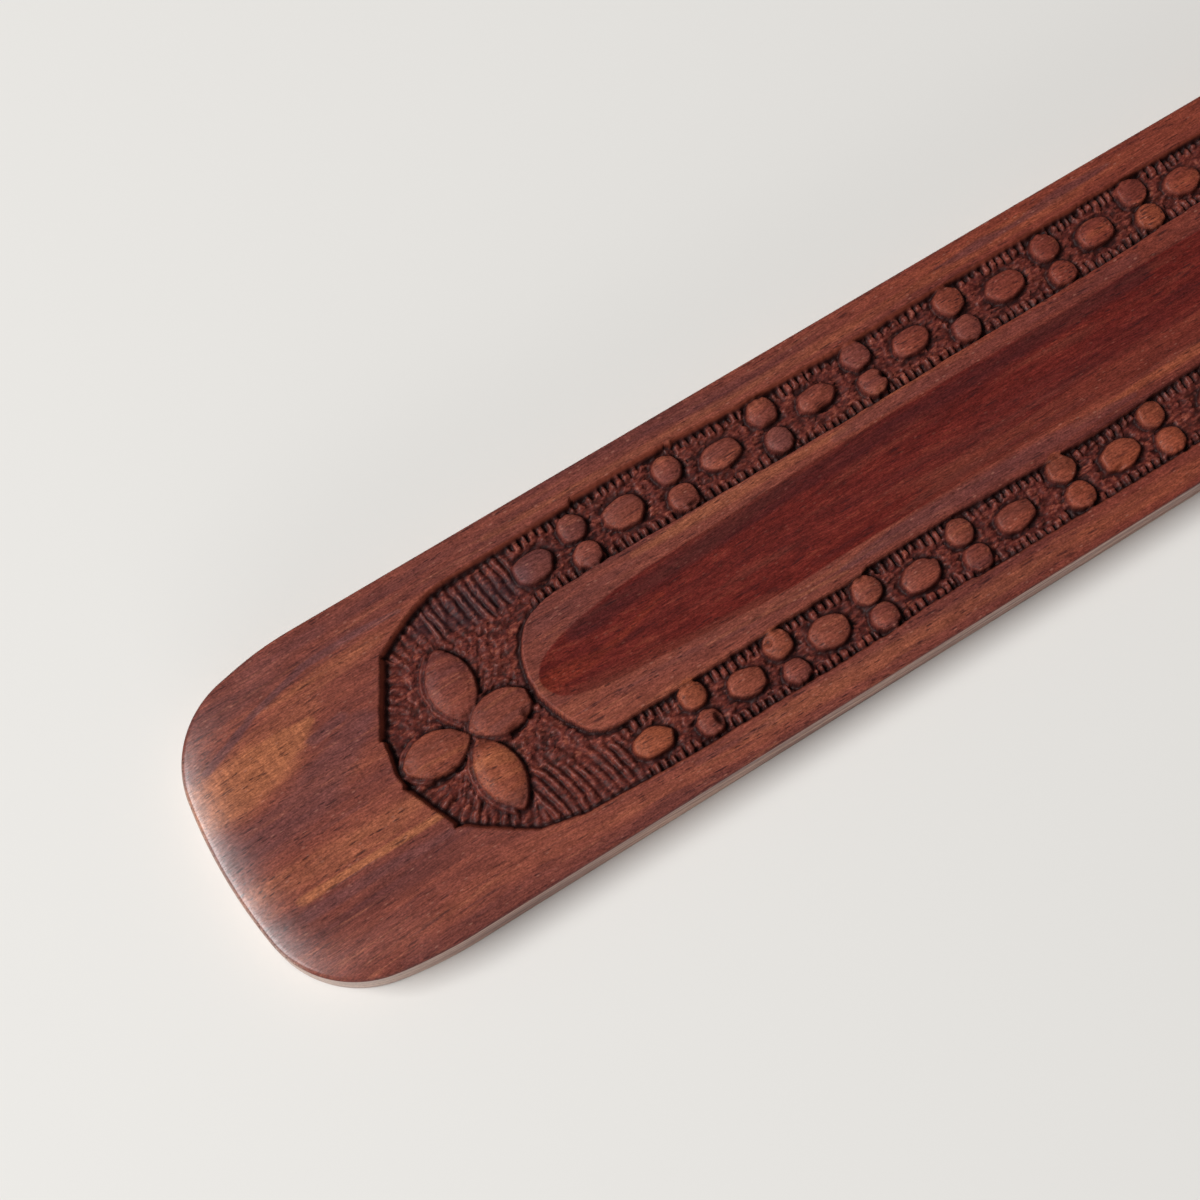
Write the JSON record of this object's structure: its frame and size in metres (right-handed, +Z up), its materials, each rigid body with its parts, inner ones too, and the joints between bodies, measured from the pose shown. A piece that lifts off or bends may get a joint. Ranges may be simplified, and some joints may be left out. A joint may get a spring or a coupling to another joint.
{
  "type": "incense burner",
  "caption": "Carved wooden incense board: beaded border bands, a flower at each end, a long ash trough and an angled stick hole in its raised head.",
  "frame": {"origin": "middle of the board's outline, on the flat underside it rests on", "axes": "+X along the board towards the raised head with the stick hole, +Y across the board, +Z up"},
  "size_m": [0.25, 0.04, 0.0128],
  "materials": {
    "board": "hand-rubbed, low sheen"
  },
  "bodies": {
    "root": {"board": "board"}
  },
  "joints": []
}
